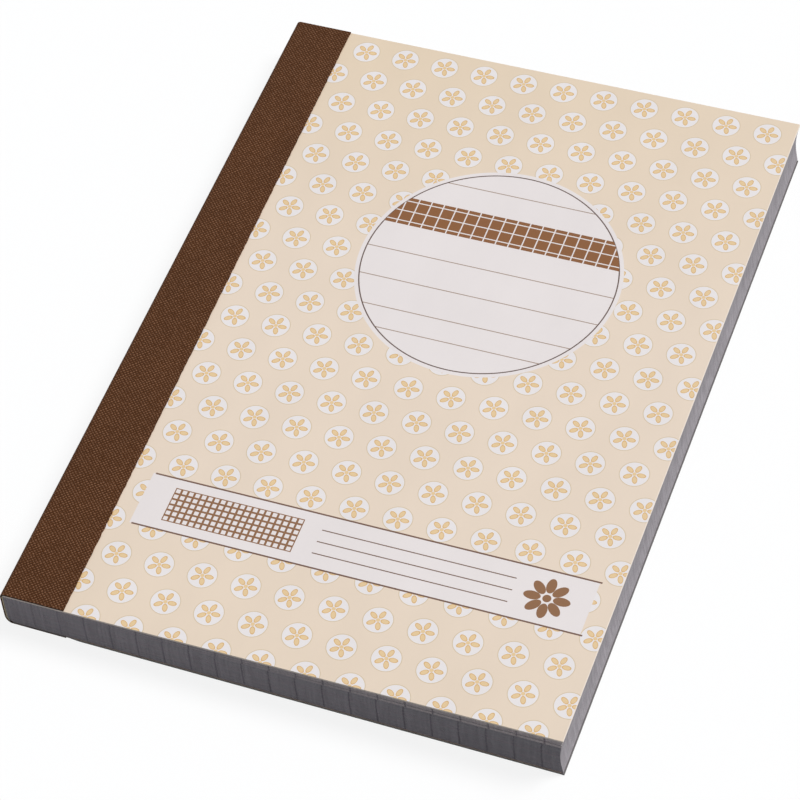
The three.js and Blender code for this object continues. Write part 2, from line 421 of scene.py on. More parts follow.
def raw_edge(piece, aslant, slope):
    """Frays the free edge, and lets it out by a length that shrinks from the tail to the head."""
    open_up(piece)
    rows = int(BOOK_HEIGHT / THREAD / 2)
    cut_across(steps(-HALF_HEIGHT, HALF_HEIGHT, rows)[1:-1], axis="Y")
    shape = bmesh.from_edit_mesh(piece.data)
    nudges = {}
    for vertex in shape.verts:
        if vertex.co.x > at(CLOTH_WIDTH - NEAR, 0, 0).x:
            row = round(vertex.co.y * HUNDREDTHS)
            nudges.setdefault(row, fray_dice.uniform(-FRAY_IN, FRAY_OUT))
            from_tail = (vertex.co.y * 1000 + HALF_HEIGHT) / BOOK_HEIGHT
            out = nudges[row] + aslant * (1 - from_tail)
            vertex.co.x += out / 1000
            vertex.co.z += out * slope / 1000
    bmesh.update_edit_mesh(piece.data)
    close()


cloth_front = box(
    "cloth_front",
    (BEND_END, -HALF_HEIGHT, cover_underside(BEND_END) + CARD),
    (CLOTH_WIDTH, HALF_HEIGHT, cloth_top),
)
open_up(cloth_front)
tilt(BEND_END, CLOTH_WIDTH, cover_underside)
cut_across([x for x in steps(BEND_END, BOARD_BEND_END, BEND_CUTS)[1:] if x < CLOTH_WIDTH])
close()
cloth_back = box("cloth_back", (HINGE, -HALF_HEIGHT, 0), (CLOTH_WIDTH, HALF_HEIGHT, CLOTH))
open_up(cloth_back)
cut_across(steps(HINGE, CLOTH_WIDTH, BACK_BEND_CUTS)[1:-1])
close()
raw_edge(cloth_front, ASLANT, cover_underside(1) - cover_underside(0))
raw_edge(cloth_back, 0, 0)
print("cloth flaps:", len(cloth_front.data.polygons) + len(cloth_back.data.polygons), "faces")

# %% [markdown]
# The weave runs round the spine without a break, so its pattern is laid out along the cloth, as if
# the strip had been peeled off and laid flat. For each point, the nearest place on the section of the
# cloth gives how far along the strip it is.

# %% Lay the weave out along the cloth
def corner_line(wide, tall, middle, degrees):
    """Points on a round corner of the section, at these angles."""
    turns = [math.radians(angle) for angle in degrees]
    return [Vector((wide * (1 + math.cos(turn)), middle + tall * math.sin(turn))) for turn in turns]


farthest = CLOTH_WIDTH + ASLANT
SECTION = [
    Vector((farthest, block_top(farthest) + CARD + CLOTH)),
    *corner_line(FRONT_ROUND, FRONT_ROUND, FRONT_MIDDLE, steps(90, 180, 8)),
    *corner_line(BACK_ROUND, BACK_ROUND_TALL, BACK_ROUND_TALL, steps(180, 270, 10)),
    Vector((farthest, 0)),
]


def along_cloth(place):
    point = Vector((place.x, place.z))
    best, walked, found = math.inf, 0, 0
    for start, end in zip(SECTION, SECTION[1:]):
        span = end - start
        share = min(1, max(0, (point - start).dot(span) / span.length_squared))
        gap = (point - start - span * share).length
        if gap < best:
            best, found = gap, walked + share * span.length
        walked += span.length
    return found


for cloth in (cloth_wrap, cloth_front, cloth_back):
    remember(cloth, along=along_cloth)
print("cloth strip is", round(along_cloth(Vector((CLOTH_WIDTH, 0, 0))), 1), "mm wide when flat")

# %% [markdown]
# The block is a hundred thin sheets, in turn a white original and its copy. One sheet is modelled
# with care: a thin box with cuts across it past the hinge line, where the sheets bend when the book
# is opened. It is a little thicker at the fore-edge, where air between the sheets makes the block
# fuller. Each of the others is a copy of it, lifted to its own height in the block.

# %% One sheet
SHEET_THICKNESS = 0.067
SHEET_AT_FORE_EDGE = 0.088
SHEET_START = 0.5
SHEET_END = BOOK_WIDTH - 0.15
PAGE_INSET = 0.02
FORE_EDGE_ZONE = 100
SHEET_BEND = 11
SHEET_BEND_STEP = 0.5
MARGIN_CUTS = (3, 6)
PAGE_CUTS = (30, 60, 90, SHEET_END - RIM)
first_sheet = box(
    "first_sheet",
    (SHEET_START, PAGE_INSET - HALF_HEIGHT, -SHEET_THICKNESS / 2),
    (SHEET_END, HALF_HEIGHT - PAGE_INSET, SHEET_THICKNESS / 2),
)
open_up(first_sheet)
pick("VERT", lambda place: place.x > FORE_EDGE_ZONE)
fuller = SHEET_AT_FORE_EDGE / SHEET_THICKNESS
bpy.ops.transform.resize(value=(1, 1, fuller), center_override=at(BOOK_WIDTH, 0, 0))
cut_across(MARGIN_CUTS)
cut_across(steps(HINGE, HINGE + SHEET_BEND, int(SHEET_BEND / SHEET_BEND_STEP)))
cut_across(PAGE_CUTS)
close()
print("one sheet:", len(first_sheet.data.polygons), "faces")

# %% [markdown]
# A pad of real paper is never a perfect block. Each sheet lies a hair further in or out, and a hair
# askew, and the ruling printed on it is off by a little more. Those small errors make the fine
# streaks on the fore-edge and the uneven marks that the ruling leaves on the tail edge. The first few
# sheets stick to the cover and rise with it, which opens a dark slit under them towards the
# fore-edge, and damp has stretched them a little. All the dice are seeded, so the book comes out the
# same each time.

# %% Place the sheets
SPINE_ZONE = 2
PAST_HINGE = HINGE + 0.1
HOLLOW = 0.5
GLUE = 0.26
ASKEW = 0.00006
OFF_ENDWISE = 0.01
OFF_SIDEWISE = 0.012
PRINT_SIDEWISE = 0.06
PRINT_ENDWISE = 0.2
PRINT_DRIFT = 0.05
DRIFT_TURN = 0.09
STUCK_SHEETS = 8
STUCK_SLACK = 0.03
TOP_SHEETS = 17
STRETCH = 0.6
SHEET_SEED = 5
sheet_dice = random.Random(SHEET_SEED)


def either_way(most):
    return sheet_dice.uniform(-most, most)


def lay_sheet(index):
    """Sheet 0 is the first original, 1 its copy, and so on down to the back."""
    share = 1 - (index + 0.5) / SHEETS
    slope = (BLOCK_AT_FORE_EDGE - BLOCK_AT_SPINE) * share / BOOK_WIDTH
    middle = BLOCK_BOTTOM + (block_top(BOOK_WIDTH / 2) - BLOCK_BOTTOM) * share
    sheet = copy_of(first_sheet, f"sheet_{index:03d}")
    take_up(sheet)
    sheet.rotation_euler = (0, -math.atan(slope), either_way(ASKEW))
    sheet.location = (0, either_way(OFF_ENDWISE) / 1000, middle / 1000)
    bpy.ops.object.transform_apply(location=True, rotation=True, scale=True)
    spine_height = BLOCK_BOTTOM + BLOCK_AT_SPINE * share
    open_up(sheet)
    pick("VERT", lambda place: place.x < SPINE_ZONE)
    move(x=spine_curve(spine_height, CLOTH + GLUE) - SHEET_START)
    pick("VERT", lambda place: place.x > FORE_EDGE_ZONE)
    move(x=-HOLLOW * math.sin(math.pi * share) + either_way(OFF_SIDEWISE))
    if index < STUCK_SHEETS:
        pick("VERT", lambda place: place.x > PAST_HINGE)
        rise = math.atan((COVER_LIFT - STUCK_SLACK) / (BOOK_WIDTH - HINGE))
        hinge_place = at(HINGE, 0, spine_height)
        bpy.ops.transform.rotate(value=rise, orient_axis="Y", center_override=hinge_place)
    close()
    drift = PRINT_DRIFT * math.sin(index * DRIFT_TURN) + STRETCH * (index < TOP_SHEETS)
    shift = (either_way(PRINT_SIDEWISE) - drift, either_way(PRINT_ENDWISE))
    remember(sheet, sheet=index, shift=shift)
    return sheet


sheets = [lay_sheet(index) for index in range(SHEETS)]
bpy.data.objects.remove(first_sheet)
for number in (0, STUCK_SHEETS - 1, STUCK_SHEETS, SHEETS - 1):
    top = max(vertex.co.z for vertex in sheets[number].data.vertices) * 1000
    print("sheet", number, "reaches", round(top, 2), "mm at the fore-edge")

# %% [markdown]
# The originals tear out along a row of fine slits, which a toothed rule cuts through the paper. One
# pointed cutter is modelled, repeated down the page with an Array modifier, and taken away from the
# first five originals with a Boolean modifier. The first original is then parted along that row.

# %% Perforation
PERFORATION = HINGE + 0.025
PARTED = 0.005
SLIT_PITCH = 3.0
SLIT_LENGTH = 1.8
SLIT_WIDTH = 0.5
CUTTER_HEIGHT = 4.0
slits = int(BOOK_HEIGHT / SLIT_PITCH)
cutter_start = at(PERFORATION, -(slits - 1) / 2 * SLIT_PITCH, block_top(HINGE))
bpy.ops.object.select_all(action="DESELECT")
bpy.ops.mesh.primitive_cylinder_add(vertices=4, radius=0.5, depth=1, location=cutter_start)
cutter = bpy.context.object
cutter.scale = Vector((SLIT_WIDTH, SLIT_LENGTH, CUTTER_HEIGHT)) / 1000
bpy.ops.object.transform_apply(location=False, rotation=True, scale=True)
finish_with(
    cutter,
    "ARRAY",
    count=slits,
    use_relative_offset=False,
    use_constant_offset=True,
    constant_offset_displace=(0, SLIT_PITCH / 1000, 0),
)
for original in sheets[0:SHEETS_IN_PACK:2]:
    finish_with(original, "BOOLEAN", object=cutter, operation="DIFFERENCE", solver="EXACT")
bpy.data.objects.remove(cutter)

stub = copy_of(sheets[0], "original_stub_01")
for part, edge, past_it in ((stub, PERFORATION - PARTED, False), (sheets[0], PERFORATION + PARTED, True)):
    open_up(part)
    bpy.ops.mesh.select_all(action="SELECT")
    bpy.ops.mesh.bisect(
        plane_co=at(edge, 0, 0),
        plane_no=(1, 0, 0),
        use_fill=True,
        clear_inner=past_it,
        clear_outer=not past_it,
        threshold=FINE,
    )
    close()
print("first original:", len(sheets[0].data.polygons), "faces, stub", len(stub.data.polygons))

# %% [markdown]
# The writing shield is a loose board that keeps the pen from marking the next set. It is a box with
# its four upright corners rounded and its edges softened, and it lies just inside the back cover.

# %% Writing shield
SHIELD_CORNER = 4.0
SHIELD_ARRIS = 0.05
low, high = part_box("writing_shield")
shield = box("shield", *[(p.x * 1000 + BOOK_WIDTH / 2, p.y * 1000, p.z * 1000) for p in (low, high)])
open_up(shield)
bpy.ops.mesh.select_mode(type="EDGE")
bpy.ops.mesh.select_all(action="DESELECT")
shape = bmesh.from_edit_mesh(shield.data)
for edge in shape.edges:
    first, second = edge.verts
    edge.select_set(abs(first.co.z - second.co.z) > NEAR / 1000)
bmesh.update_edit_mesh(shield.data)
round_off(SHIELD_CORNER, rows=8)
close()
finish_with(shield, "BEVEL", width=SHIELD_ARRIS / 1000, segments=2, limit_method="ANGLE")
remember(shield)
print("shield:", len(shield.data.polygons), "faces")

# %% [markdown]
# Materials are built from nodes. The first helpers turn a colour into the numbers that nodes use, and
# feed a socket with a number or with another node's output.

# %% Colours and sockets
def colour(red, green, blue):
    """A colour as it looks on screen, 0 to 255, made linear for the nodes by the sRGB curve."""
    shown = [part / 255 for part in (red, green, blue)]
    linear = [part / 12.92 if part < 0.04045 else ((part + 0.055) / 1.055) ** 2.4 for part in shown]
    return (*linear, 1)


def feed(tree, socket, value):
    if isinstance(value, bpy.types.NodeSocket):
        tree.links.new(value, socket)
    else:
        socket.default_value = value[:3] if socket.type == "VECTOR" else value


def connect(tree, sockets, **values):
    """Feeds sockets by their names, with _ for a space."""
    for title, value in values.items():
        feed(tree, sockets[title.replace("_", " ")], value)


print("cream as nodes see it:", [round(part, 3) for part in colour(228, 210, 191)])

# %% [markdown]
# The next helpers each add one node and hand back what it puts out: a sum, a sum on a place, a place
# or colour made larger, a place taken apart, a value spread over another range, or a mix of two.

# %% Sums
MIX_SOCKETS = {"FLOAT": (2, 0), "VECTOR": (4, 1), "RGBA": (6, 2)}


def calc(tree, operation, *values, kind="ShaderNodeMath", output=0):
    node = tree.nodes.new(kind)
    node.operation = operation
    for socket, value in zip(node.inputs, values):
        feed(tree, socket, value)
    return node.outputs[output]


def vector(tree, operation, *values):
    output = "Value" if operation == "LENGTH" else "Vector"
    return calc(tree, operation, *values, kind="ShaderNodeVectorMath", output=output)


def scaled(tree, value, factor):
    node = tree.nodes.new("ShaderNodeVectorMath")
    node.operation = "SCALE"
    connect(tree, node.inputs, Vector=value, Scale=factor)
    return node.outputs["Vector"]


def split(tree, place):
    node = tree.nodes.new("ShaderNodeSeparateXYZ")
    feed(tree, node.inputs[0], place)
    return node.outputs


def spread(tree, value, from_low, from_high, to_low=0.0, to_high=1.0):
    node = tree.nodes.new("ShaderNodeMapRange")
    for socket, number in zip(node.inputs, (value, from_low, from_high, to_low, to_high)):
        feed(tree, socket, number)
    return node.outputs["Result"]


def mix(tree, mask, first, second, kind="RGBA"):
    """The first value where the mask is 0, the second where it is 1."""
    socket, output = MIX_SOCKETS[kind]
    node = tree.nodes.new("ShaderNodeMix")
    node.data_type = kind
    feed(tree, node.inputs["Factor"], mask)
    feed(tree, node.inputs[socket], first)
    feed(tree, node.inputs[socket + 1], second)
    return node.outputs[output]


print("kinds of mix:", ", ".join(MIX_SOCKETS))

# %% [markdown]
# A print is drawn with masks, which are 1 where the ink goes and 0 elsewhere. Sums on masks get names
# of their own, so that a drawing reads as a sentence.

# %% Masks
def stroke(tree, value, middle, width):
    """1 where the value is within half the width of the middle: a drawn line."""
    return calc(tree, "COMPARE", value, middle, width / 2)


def between(tree, value, low, high):
    return stroke(tree, value, (low + high) / 2, high - low)


def either(tree, *masks):
    found = masks[0]
    for mask in masks[1:]:
        found = calc(tree, "MAXIMUM", found, mask)
    return found


def both(tree, *masks):
    found = masks[0]
    for mask in masks[1:]:
        found = calc(tree, "MULTIPLY", found, mask)
    return found


def opposite(tree, mask):
    return calc(tree, "SUBTRACT", 1.0, mask)


def laid_over(tree, ground, *layers):
    """Colours laid over a ground in this order, each where its mask is 1."""
    for mask, tone in layers:
        ground = mix(tree, mask, ground, tone)
    return ground


print("masks ready")

# %% [markdown]
# Texture helpers read an attribute of the piece and make noise. A noise lies mostly between 0.3 and
# 0.7, so its use as a shade or a roughness starts from there.

# %% Textures
NOISE_LOW = 0.3
NOISE_HIGH = 0.7


def attribute(tree, name, output="Fac"):
    node = tree.nodes.new("ShaderNodeAttribute")
    node.attribute_name = name
    return node.outputs[output]


def noise(tree, place, scale, detail=2.0, roughness=0.5, output="Fac"):
    node = tree.nodes.new("ShaderNodeTexNoise")
    connect(tree, node.inputs, Vector=place, Scale=scale, Detail=detail, Roughness=roughness)
    return node.outputs[output]


def chance(tree, number):
    """A random value from 0 to 1 for each number."""
    node = tree.nodes.new("ShaderNodeTexWhiteNoise")
    node.noise_dimensions = "1D"
    feed(tree, node.inputs["W"], number)
    return node.outputs["Value"]


def varied(tree, value, low, high):
    return spread(tree, value, NOISE_LOW, NOISE_HIGH, low, high)


def clouded(tree, value, base, amount):
    """The colour made a little lighter and darker by a noise."""
    return scaled(tree, base, varied(tree, value, 1 - amount, 1 + amount))


print("a noise is spread from", NOISE_LOW, "to", NOISE_HIGH)

# %% [markdown]
# An effect that several finishes share, such as fibres or squares, is a node group: it is built once
# here and placed in each material with its own values.

# %% Node groups
def group(name, inputs, outputs):
    """Starts a node group. An input without a number is a place."""
    tree = bpy.data.node_groups.new(name, "ShaderNodeTree")
    for title, value in inputs.items():
        kind = "NodeSocketVector" if value is None else "NodeSocketFloat"
        socket = tree.interface.new_socket(name=title, in_out="INPUT", socket_type=kind)
        if value is not None:
            socket.default_value = value
    for title in outputs:
        tree.interface.new_socket(name=title, in_out="OUTPUT", socket_type="NodeSocketFloat")
    taken = tree.nodes.new("NodeGroupInput").outputs
    given = tree.nodes.new("NodeGroupOutput").inputs
    return tree, taken, given


def use(tree, name, **values):
    node = tree.nodes.new("ShaderNodeGroup")
    node.node_tree = bpy.data.node_groups[name]
    connect(tree, node.inputs, **values)
    return node.outputs


print("node groups can be started and used")

# %% [markdown]
# Paper and card are felted fibres: the colour clouds a little, and the surface has a fine tooth that
# catches the light. One group gives both, as a cloud value for the colour and a height for the bump,
# and every paper, card and board below uses it with its own strength.

# %% Fibre group
FIBRE_LIE = (1.0, 0.55, 1.0)
tree, taken, given = group("Fibres", {"Place": None, "Tooth": 3.0}, ("Cloud", "Height"))
lying = vector(tree, "MULTIPLY", taken["Place"], FIBRE_LIE)
cloud = noise(tree, lying, scale=0.09, detail=5.0, roughness=0.6)
tooth = noise(tree, lying, scale=taken["Tooth"], detail=3.0, roughness=0.65)
connect(tree, given, Cloud=cloud, Height=tooth)
print("group Fibres:", len(tree.nodes), "nodes")

# %% [markdown]
# Squares are used three times on this book: on every page, on the label and in the panel of the
# banner. The group wraps the place into one cell of the given pitch and draws a line on its border,
# across and along, each as a mask of its own.

# %% Squares group
tree, taken, given = group(
    "Squares",
    {"Place": None, "Pitch": 5.0, "Start X": 0.0, "Start Y": 0.0, "Line": 0.15},
    ("Upright", "Level", "Lines"),
)
half, less_half = [calc(tree, "MULTIPLY", taken["Pitch"], share) for share in (0.5, -0.5)]
reach = calc(tree, "MULTIPLY", taken["Line"], 0.5)
masks = []
for value, start in zip(split(tree, taken["Place"])[:2], (taken["Start X"], taken["Start Y"])):
    wrapped = calc(tree, "WRAP", calc(tree, "SUBTRACT", value, start), half, less_half)
    masks.append(calc(tree, "COMPARE", wrapped, 0.0, reach))
connect(tree, given, Upright=masks[0], Level=masks[1], Lines=either(tree, *masks))
print("group Squares:", len(tree.nodes), "nodes")

# %% [markdown]
# A rosette is the stock ornament of stationery: round petals about a centre. The group folds the
# plane into one petal's sector, so one petal drawn there shows in all of them. The cover uses it small
# in each disc and large at the end of the banner. Its sizes are shares of the size that it is given.

# %% Rosette group
PETAL_OUT = 0.62
PETAL_NARROW = 1.75
PETAL_REACH = 0.36
PETAL_LINE = 0.1
HEART = 0.18
tree, taken, given = group(
    "Rosette", {"Place": None, "Petals": 6.0, "Size": 2.0}, ("Petal", "Outline", "Centre")
)
unit = scaled(tree, taken["Place"], calc(tree, "DIVIDE", 1.0, taken["Size"]))
x, y = split(tree, unit)[:2]
radius = vector(tree, "LENGTH", unit)
sector = calc(tree, "DIVIDE", math.pi, taken["Petals"])
less_sector = calc(tree, "MULTIPLY", sector, -1.0)
folded = calc(tree, "WRAP", calc(tree, "ARCTAN2", y, x), sector, less_sector)
out = calc(tree, "MULTIPLY", radius, calc(tree, "COSINE", folded))
out = calc(tree, "SUBTRACT", out, PETAL_OUT)
across = calc(tree, "MULTIPLY", radius, calc(tree, "SINE", folded))
across = calc(tree, "MULTIPLY", across, PETAL_NARROW)
far = calc(tree, "ADD", calc(tree, "POWER", out, 2.0), calc(tree, "POWER", across, 2.0))
far = calc(tree, "SQRT", far)
connect(
    tree,
    given,
    Petal=calc(tree, "LESS_THAN", far, PETAL_REACH),
    Outline=stroke(tree, far, PETAL_REACH, PETAL_LINE),
    Centre=calc(tree, "LESS_THAN", radius, HEART),
)
print("group Rosette:", len(tree.nodes), "nodes")

# %% [markdown]
# The ground of the cover is a small repeat: pale discs in staggered rows, each with a thin rim and a
# gold rosette. Wrapping the place twice, the second time by half a cell, gives the two sets of rows,
# and the nearer centre wins. The print lies in the plane of the cover, so heights are left out.

# %% Disc repeat group
DISC_ACROSS = 8.3
DISC_REPEAT = 14.38
DISC_RADIUS = 2.72
DISC_RIM = 0.16
LEVEL_ONLY = (1.0, 1.0, 0.0)
tree, taken, given = group("Discs", {"Place": None}, ("Disc", "Rim", "Petal", "Outline"))
half_cell = (DISC_ACROSS / 2, DISC_REPEAT / 2, 0.0)
less_half = (-DISC_ACROSS / 2, -DISC_REPEAT / 2, 0.0)
flat = vector(tree, "MULTIPLY", taken["Place"], LEVEL_ONLY)
even = vector(tree, "WRAP", flat, half_cell, less_half)
odd = vector(tree, "WRAP", vector(tree, "ADD", flat, half_cell), half_cell, less_half)
nearer = calc(tree, "LESS_THAN", vector(tree, "LENGTH", even), vector(tree, "LENGTH", odd))
centre = mix(tree, nearer, odd, even, kind="VECTOR")
from_centre = vector(tree, "LENGTH", centre)
rosette = use(tree, "Rosette", Place=centre, Petals=5.0, Size=2.1)
connect(
    tree,
    given,
    Disc=calc(tree, "LESS_THAN", from_centre, DISC_RADIUS),
    Rim=stroke(tree, from_centre, DISC_RADIUS, DISC_RIM),
    Petal=either(tree, rosette["Petal"], rosette["Centre"]),
    Outline=rosette["Outline"],
)
print("group Discs:", len(tree.nodes), "nodes")

# %% [markdown]
# The label is a white circle with room to write in: thin rules above and below a band of brown
# squares. Each line is a stroke at its own height, kept inside the circle by multiplying its mask by
# the circle's.

# %% Label group
LABEL_MIDDLE = (59.05, 95.4, 0.0)
LABEL_RADIUS = 24.6
LABEL_HALO = 25.5
LABEL_LINE = 0.25
LABEL_RULES = (114.9, 95.8, 88.8, 81.9, 76.9)
LABEL_RULE_WIDTH = 0.19
BAND = (102.4, 109.2)
BAND_SQUARES = {"Pitch": 2.5, "Start_X": 0.4, "Start_Y": 0.8, "Line": 0.24}
tree, taken, given = group("Label", {"Place": None}, ("Ground", "Rules", "Circle", "Band", "Band lines"))
flat = vector(tree, "MULTIPLY", taken["Place"], LEVEL_ONLY)
y = split(tree, flat)["Y"]
from_middle = vector(tree, "LENGTH", vector(tree, "SUBTRACT", flat, LABEL_MIDDLE))
inside = calc(tree, "LESS_THAN", from_middle, LABEL_RADIUS)
rules = either(tree, *[stroke(tree, y, height, LABEL_RULE_WIDTH) for height in LABEL_RULES])
band = both(tree, between(tree, y, *BAND), inside)
squares = use(tree, "Squares", Place=flat, **BAND_SQUARES)
connect(
    tree,
    given,
    Ground=calc(tree, "LESS_THAN", from_middle, LABEL_HALO),
    Rules=both(tree, rules, inside),
    Circle=stroke(tree, from_middle, LABEL_RADIUS, LABEL_LINE),
    Band=band,
    Band_lines=both(tree, band, squares["Lines"]),
)
print("group Label:", len(tree.nodes), "nodes")

# %% [markdown]
# Across the foot of the cover runs a white banner between two brown rules, which the press set a
# little to the right of it. It holds a panel of small squares, three rules to write on and a brown
# rosette, each in its own box of the banner.

# %% Banner group
BANNER = (16.1, 101.0, 21.5, 33.1)
BANNER_RULE_WIDTH = 0.34
BANNER_RULE_SHIFT = 0.4
PANEL = (21.4, 46.4, 23.6, 31.1)
PANEL_SQUARES = {"Pitch": 1.25, "Start_X": PANEL[0], "Start_Y": PANEL[2], "Line": 0.42}
WRITING = (50.1, 86.7)
WRITING_RULES = (29.8, 27.2, 24.6)
WRITING_RULE_WIDTH = 0.22
ROSETTE_MIDDLE = (93.1, 27.2, 0.0)
tree, taken, given = group("Banner", {"Place": None}, ("Ground", "Rules", "Print"))
flat = vector(tree, "MULTIPLY", taken["Place"], LEVEL_ONLY)
x, y = split(tree, flat)[:2]


def inside_box(start, end, bottom, top):
    return both(tree, between(tree, x, start, end), between(tree, y, bottom, top))


start, end, bottom, top = BANNER
edge_rules = either(tree, *[stroke(tree, y, height, BANNER_RULE_WIDTH) for height in (bottom, top)])
shifted = between(tree, x, start + BANNER_RULE_SHIFT, end + BANNER_RULE_SHIFT)
lines = either(tree, *[stroke(tree, y, height, WRITING_RULE_WIDTH) for height in WRITING_RULES])
lines = both(tree, lines, between(tree, x, *WRITING))
small = use(tree, "Squares", Place=flat, **PANEL_SQUARES)
panel = both(tree, small["Lines"], inside_box(*PANEL))
at_rosette = vector(tree, "SUBTRACT", flat, ROSETTE_MIDDLE)
rosette = use(tree, "Rosette", Place=at_rosette, Petals=8.0, Size=4.4)
connect(
    tree,
    given,
    Ground=inside_box(*BANNER),
    Rules=either(tree, both(tree, edge_rules, shifted), lines),
    Print=either(tree, panel, rosette["Petal"], rosette["Centre"]),
)
print("group Banner:", len(tree.nodes), "nodes")

# %% [markdown]
# A material is a shader with what feeds it. Each is kept under its name, so that pieces can be
# finished with it later. All card and paper starts from the place on the sheet and from the fibres,
# and ends in a colour, a roughness and a bump from one height.

# %% Start a material
finishes = {}


def new_material(name):
    made = bpy.data.materials.new(name)
    made.use_nodes = True
    finishes[name] = made
    return made.node_tree, made.node_tree.nodes["Principled BSDF"]


def felted(name, tooth):
    """Starts a material that has fibres, with the shader, the place and the fibres."""
    tree, shader = new_material(name)
    place = attribute(tree, "place", "Vector")
    return tree, shader, place, use(tree, "Fibres", Place=place, Tooth=tooth)


def bump(tree, height, relief):
    node = tree.nodes.new("ShaderNodeBump")
    connect(tree, node.inputs, Strength=1.0, Distance=relief / 1000, Height=height)
    return node.outputs["Normal"]


print("material helpers ready")

# %% [markdown]
# The front card is white board, printed on its outer face only. The print goes on in the order of
# the press: cream ground, discs with their rosettes, then the white label and banner over them, and
# brown on top. The press laid the ground on a little thicker towards the head, most of all at the
# spine, and a trace thicker at the tail. Cut edges show the pale core of the board instead.

# %% Printed card
CREAM = colour(228, 210, 191)
CREAM_DENSE = colour(224, 204, 178)
DISC_WHITE = colour(230, 224, 223)
RIM_GOLD = colour(210, 190, 160)
MOTIF_GOLD = colour(226, 196, 150)
MOTIF_LINE = colour(212, 172, 116)
RING_BROWN = colour(86, 64, 56)
PRINT_WHITE = colour(229, 221, 219)
PRINT_BROWN = colour(131, 91, 58)
RULE_BROWN = colour(104, 74, 58)
LINE_BROWN = colour(150, 126, 108)
SQUARE_BROWN = colour(126, 78, 34)
CORE_PALE = colour(232, 220, 206)
INSIDE_WHITE = colour(226, 220, 212)
DENSE_HEAD = (90.0, 146.0)
DENSE_TAIL = (30.0, 0.0)
TAIL_SHARE = 0.35
FORE_EDGE_SHARE = 0.6

tree, shader, place, fibres = felted("printed_card", tooth=4.0)
discs, label, banner = [use(tree, name, Place=place) for name in ("Discs", "Label", "Banner")]
x, y = split(tree, place)[:2]
dense = either(tree, spread(tree, y, *DENSE_HEAD), spread(tree, y, *DENSE_TAIL, to_high=TAIL_SHARE))
dense = both(tree, dense, spread(tree, x, 0.0, BOOK_WIDTH, to_low=1.0, to_high=FORE_EDGE_SHARE))
ink = laid_over(
    tree,
    CREAM,
    (dense, CREAM_DENSE),
    (discs["Disc"], DISC_WHITE),
    (discs["Rim"], RIM_GOLD),
    (discs["Petal"], MOTIF_GOLD),
    (discs["Outline"], MOTIF_LINE),
    (either(tree, label["Ground"], banner["Ground"]), PRINT_WHITE),
    (label["Rules"], LINE_BROWN),
    (label["Circle"], RING_BROWN),
    (label["Band"], SQUARE_BROWN),
    (label["Band lines"], PRINT_WHITE),
    (banner["Rules"], RULE_BROWN),
    (banner["Print"], PRINT_BROWN),
)
cut = attribute(tree, "cut")
surface = laid_over(tree, INSIDE_WHITE, (attribute(tree, "outer"), ink), (cut, CORE_PALE))
connect(
    tree,
    shader.inputs,
    Base_Color=clouded(tree, fibres["Cloud"], surface, amount=0.02),
    Roughness=varied(tree, fibres["Cloud"], 0.5, 0.6),
    Normal=bump(tree, fibres["Height"], relief=0.006),
)
print("printed card:", len(tree.nodes), "nodes")

# %% [markdown]
# The back card is the same board unprinted: a pale buff with flecks of darker fibre. Its cut edge, and a
# narrow rim beside it at the fore-edge, are painted grey as painted shade.

# %% Plain card
BUFF = colour(222, 209, 190)
BUFF_FLECK = colour(196, 178, 152)
CARD_SHADE_GREY = colour(106, 102, 102)
FLECK_RANGE = (0.64, 0.72)
SHADED_RIM_FROM = BOOK_WIDTH - 0.7
SHADED_RIM_TO = BOOK_WIDTH - 0.4

tree, shader, place, fibres = felted("plain_card", tooth=4.0)
flecks = spread(tree, noise(tree, place, scale=2.2, detail=4.0, roughness=0.7), *FLECK_RANGE)
# Painted shade: the cut edge and a narrow rim next to the fore-edge go grey.
shaded_rim = spread(tree, split(tree, place)["X"], SHADED_RIM_FROM, SHADED_RIM_TO)
card_shade = either(tree, attribute(tree, "cut"), shaded_rim)
surface = laid_over(tree, BUFF, (flecks, BUFF_FLECK), (card_shade, CARD_SHADE_GREY))
connect(
    tree,
    shader.inputs,
    Base_Color=clouded(tree, fibres["Cloud"], surface, amount=0.03),
    Roughness=varied(tree, fibres["Cloud"], 0.62, 0.72),
    Normal=bump(tree, fibres["Height"], relief=0.008),
)
print("plain card:", len(tree.nodes), "nodes")

# %% [markdown]
# Book cloth is a plain weave: each thread goes over one and under the next. The group finds the cell
# that a point lies in and whether the thread along or the thread across is on top there. A rounded
# profile across the thread gives the height. Two random numbers, one for each thread and one for each
# crossing, let the dye come out uneven. The group also puts out which of the two sets of threads is
# on top, because they are dyed differently, and where the hollows between threads are.

# %% Weave group
WANDER = (0.5, 0.5, 0.0)
SIDE_ROUND = 0.6
CREST_ROUND = 0.25
HOLLOW_RANGE = (0.7, 0.3)
THREAD_SEEDS = (0.37, 0.73)
tree, taken, given = group(
    "Weave", {"Place": None, "Pitch": THREAD}, ("Height", "Thread", "Crossing", "Across", "Hollow")
)
pull = vector(tree, "SUBTRACT", noise(tree, taken["Place"], scale=0.9, output="Color"), (0.5, 0.5, 0.5))
pulled = vector(tree, "MULTIPLY_ADD", pull, WANDER, taken["Place"])
cells = [calc(tree, "DIVIDE", value, taken["Pitch"]) for value in split(tree, pulled)[:2]]
whole = [calc(tree, "FLOOR", cell) for cell in cells]
on_top = calc(tree, "PINGPONG", calc(tree, "ADD", *whole), 1.0)
inner = [calc(tree, "SUBTRACT", calc(tree, "FRACT", cell), 0.5) for cell in cells]
round_u, round_v = [calc(tree, "COSINE", calc(tree, "MULTIPLY", part, math.pi)) for part in inner]
along_up, across_up = [
    both(tree, calc(tree, "POWER", side, SIDE_ROUND), calc(tree, "POWER", crest, CREST_ROUND))
    for side, crest in ((round_u, round_v), (round_v, round_u))
]
height = mix(tree, on_top, along_up, across_up, kind="FLOAT")
tones = [chance(tree, calc(tree, "ADD", number, seed)) for number, seed in zip(whole, THREAD_SEEDS)]
crossing = tree.nodes.new("ShaderNodeCombineXYZ")
connect(tree, crossing.inputs, X=whole[0], Y=whole[1])
